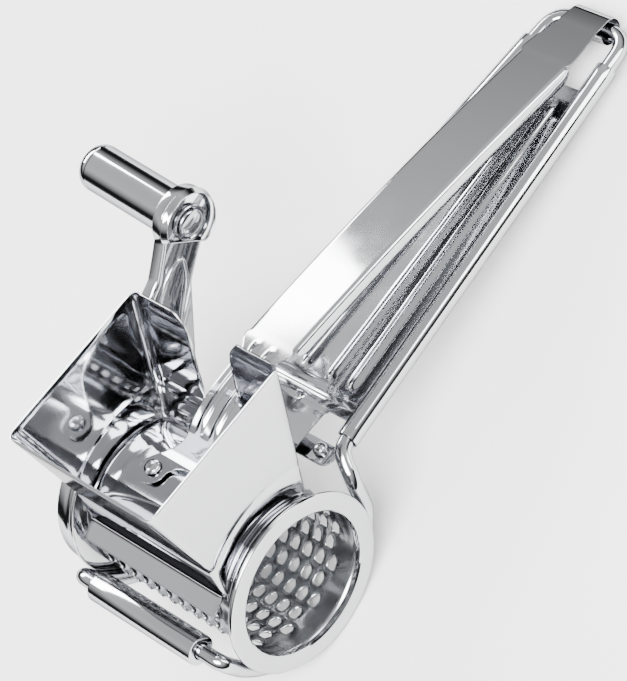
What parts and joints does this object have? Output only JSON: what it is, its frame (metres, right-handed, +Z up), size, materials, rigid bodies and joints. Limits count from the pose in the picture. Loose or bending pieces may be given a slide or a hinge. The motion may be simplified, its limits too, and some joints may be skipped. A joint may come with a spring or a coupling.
{
  "type": "rotary cheese grater",
  "caption": "Hand-held rotary grater: wire frame and grip plate, food hopper, squeeze lever with curved pusher plate, perforated drum with side crank and turning grip.",
  "frame": {"origin": "under the middle of the object's box, on the surface it stands on", "axes": "+X from the drum to the far end of the handle, +Y along the drum's axis from its open end to the crank, +Z up, with the grater standing on its two wire cradles and its hinge curl"},
  "size_m": [0.2162, 0.1088, 0.0895],
  "materials": {
    "polished_steel": "mirror-polished stainless sheet",
    "satin_steel": "satin stainless steel",
    "wire_steel": "bright drawn stainless wire"
  },
  "bodies": {
    "frame": {"hopper_shell": "polished_steel", "wire_frame": "wire_steel", "grip_plate": "polished_steel", "back_brace": "satin_steel", "brace_screw": "polished_steel", "brace_rivet_near": "polished_steel", "brace_rivet_far": "polished_steel", "tongue_rivet_near": "polished_steel", "tongue_rivet_far": "polished_steel"},
    "sleeve": {"front_sleeve": "satin_steel"},
    "lever": {"pusher_lever": "polished_steel", "pusher_plate": "polished_steel", "pusher_rivet_near": "polished_steel", "pusher_rivet_far": "polished_steel"},
    "drum": {"drum_barrel": "satin_steel", "drum_rim_near": "polished_steel", "drum_rim_far": "polished_steel", "drum_end_plate": "polished_steel", "crank_arm": "polished_steel", "hub_rivet_1": "polished_steel", "hub_rivet_2": "polished_steel", "hub_rivet_3": "polished_steel", "grip_pin": "satin_steel", "grip_washer": "satin_steel"},
    "grip": {"grip_tube": "polished_steel", "grip_bush_near": "satin_steel", "grip_bush_far": "satin_steel", "grip_end_cap": "polished_steel"}
  },
  "joints": [
    {"name": "pusher_hinge", "type": "hinge", "parent": "frame", "child": "lever", "pos_m": [0.10364, -0.02165, 0.00449], "axis": [0, 1, 0], "range_deg": [0, 70]},
    {"name": "drum_spin", "type": "hinge", "parent": "frame", "child": "drum", "pos_m": [-0.07453, -0.02165, 0.02709], "axis": [0, 1, 0], "continuous": true},
    {"name": "crank_grip_spin", "type": "hinge", "parent": "drum", "child": "grip", "pos_m": [-0.00748, 0.01275, 0.06694], "axis": [0.06, 0.9976, 0.0356], "continuous": true},
    {"name": "front_sleeve_spin", "type": "hinge", "parent": "frame", "child": "sleeve", "pos_m": [-0.10373, -0.02165, 0.03446], "axis": [0, 1, 0], "continuous": true}
  ]
}
